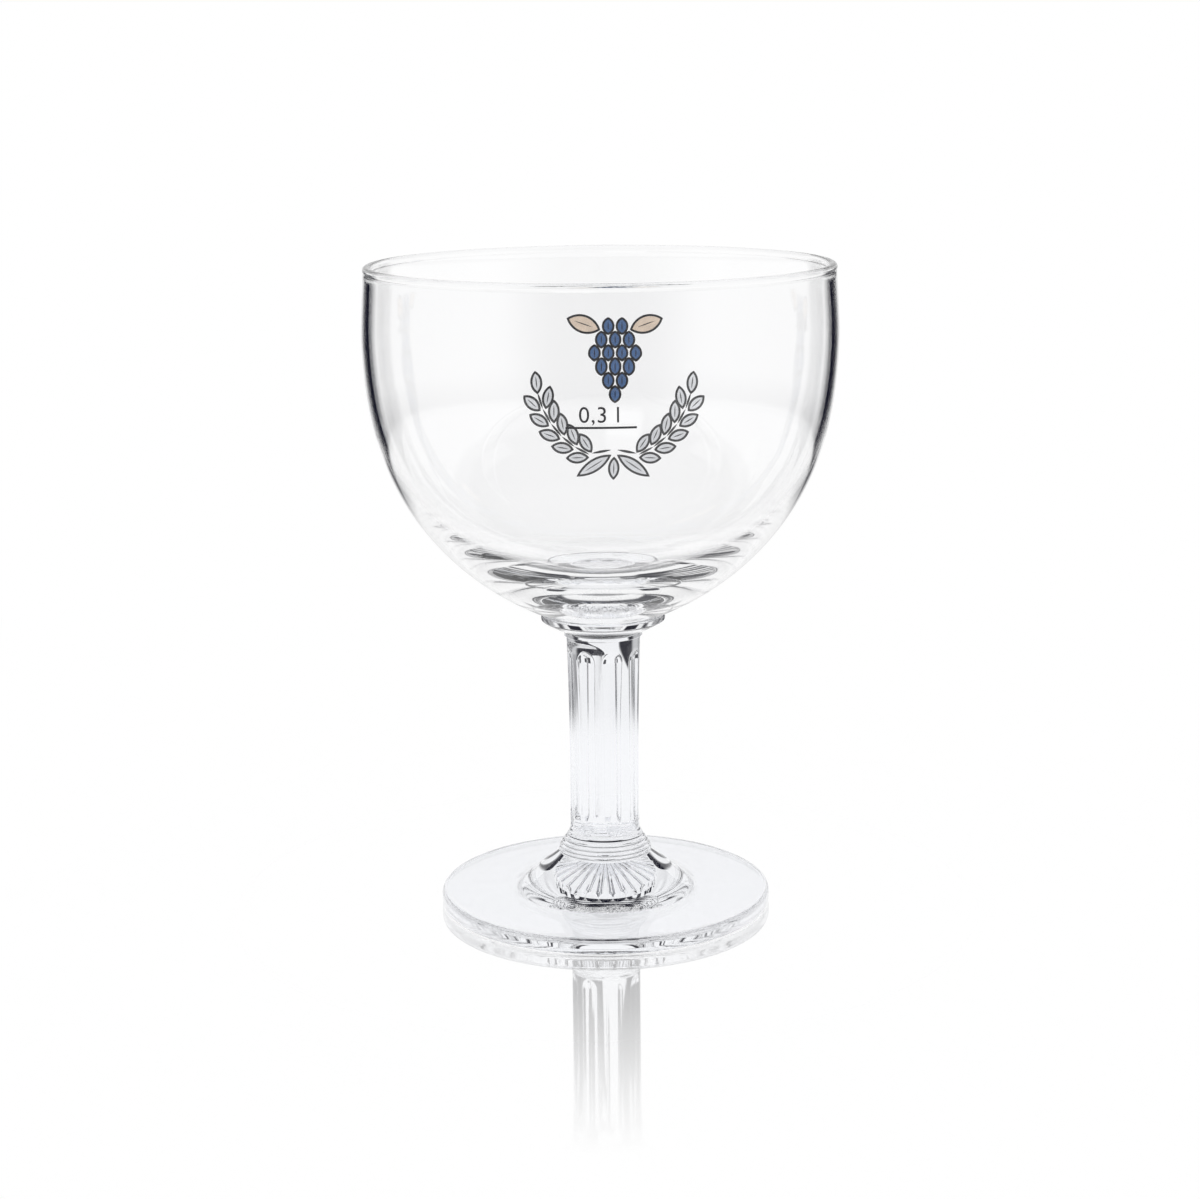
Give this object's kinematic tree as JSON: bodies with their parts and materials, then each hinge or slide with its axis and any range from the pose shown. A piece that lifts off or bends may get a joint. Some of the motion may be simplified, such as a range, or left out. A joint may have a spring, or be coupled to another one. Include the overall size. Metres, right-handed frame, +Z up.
{
  "type": "chalice beer glass",
  "caption": "Wide round beer bowl on a short fluted stem with a thin collar, a ringed knuckle and a pressed disc foot, with a fill mark and an enamel plant motif.",
  "frame": {"origin": "middle of the circle on which the foot stands, on the glass's axis", "axes": "+Z up along the glass's axis; the decoration faces +Y and the fill mark faces -Y"},
  "size_m": [0.1168, 0.1169, 0.163],
  "materials": {
    "bowl_glass": "clear blown soda-lime glass with a fire-polished rim",
    "stem_glass": "clear pressed soda-lime glass, fire polished, faintly grey-green in the thick edge",
    "enamel_blue": "fired ceramic enamel, mid blue, satin gloss",
    "enamel_black": "fired ceramic enamel, black, satin gloss",
    "enamel_grey": "fired ceramic enamel, light grey, satin gloss",
    "enamel_cream": "fired ceramic enamel, warm cream, satin gloss"
  },
  "bodies": {
    "root": {"bowl": "bowl_glass", "collar": "stem_glass", "stem": "stem_glass", "foot": "stem_glass", "fill_line": "enamel_black", "enamel_blue": "enamel_blue", "enamel_black": "enamel_black", "enamel_grey": "enamel_grey", "enamel_cream": "enamel_cream"}
  },
  "joints": []
}
